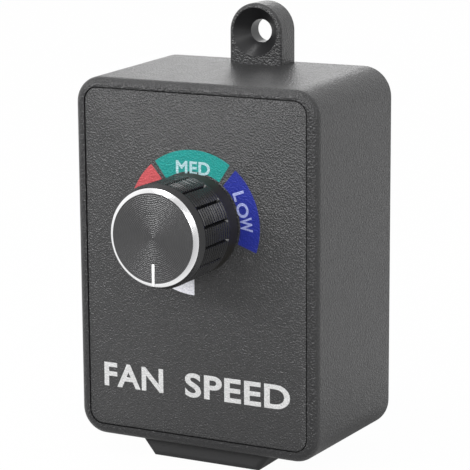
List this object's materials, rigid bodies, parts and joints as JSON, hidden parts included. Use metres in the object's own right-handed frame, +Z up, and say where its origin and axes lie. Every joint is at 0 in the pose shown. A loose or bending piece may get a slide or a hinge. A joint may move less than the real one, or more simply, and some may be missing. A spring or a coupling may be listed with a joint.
{
  "type": "fan speed control switch",
  "caption": "Wall-hung dark plastic control box with a round dial knob over a printed speed ring, a countersunk hanging tab on top and a boss with cord inlets underneath.",
  "frame": {"origin": "middle of the flat rear face, where the box meets the wall", "axes": "+Z up towards the hanging tab, +Y into the wall, +X to the right seen from the front"},
  "size_m": [0.0786, 0.0701, 0.1298],
  "materials": {
    "housing_plastic": "fine pebble grain",
    "panel_print": "pebble grain with printed speed fields",
    "screw_steel": "zinc plated",
    "knob_metal": "black anodised, turned face, bright bevel",
    "black_plastic": "moulded",
    "plated_steel": "nickel plated",
    "bushing_brass": "machined",
    "wafer_phenolic": "laminated paper and resin",
    "tinned_metal": "tinned",
    "board_laminate": "green solder mask",
    "sink_aluminium": "extruded, mill finish",
    "core_ferrite": "sintered",
    "winding_copper": "enamelled copper wire",
    "film_yellow": "moulded box",
    "resistor_body": "lacquered",
    "glass_body": "clear glass",
    "block_green": "moulded"
  },
  "bodies": {
    "housing": {"back_cover": "housing_plastic", "board_screws": "screw_steel", "choke_core": "core_ferrite", "choke_winding": "winding_copper", "circuit_board": "board_laminate", "clamp_screws": "screw_steel", "cord_clamp": "black_plastic", "cover_screws": "screw_steel", "diac": "glass_body", "face_panel": "panel_print", "film_capacitor": "film_yellow", "front_housing": "housing_plastic", "fuse_caps": "tinned_metal", "fuse_clips": "bushing_brass", "fuse_tube": "glass_body", "heatsink": "sink_aluminium", "heatsink_screw": "screw_steel", "pot_bushing": "bushing_brass", "pot_can": "plated_steel", "pot_element": "wafer_phenolic", "pot_nut": "plated_steel", "pot_switch": "black_plastic", "pot_terminals": "tinned_metal", "pot_washer": "plated_steel", "resistors": "resistor_body", "snubber_capacitor": "film_yellow", "terminal_block": "block_green", "terminal_screws": "screw_steel", "triac": "black_plastic"},
    "knob": {"control_knob": "knob_metal", "knob_insert": "black_plastic", "pot_shaft": "plated_steel", "shaft_clip": "plated_steel", "pot_wiper": "black_plastic"}
  },
  "joints": [
    {"name": "knob_turn", "type": "hinge", "parent": "housing", "child": "knob", "pos_m": [0, -0.047, 0.0132], "axis": [0, 1, 0], "range_deg": [0, 290]}
  ]
}
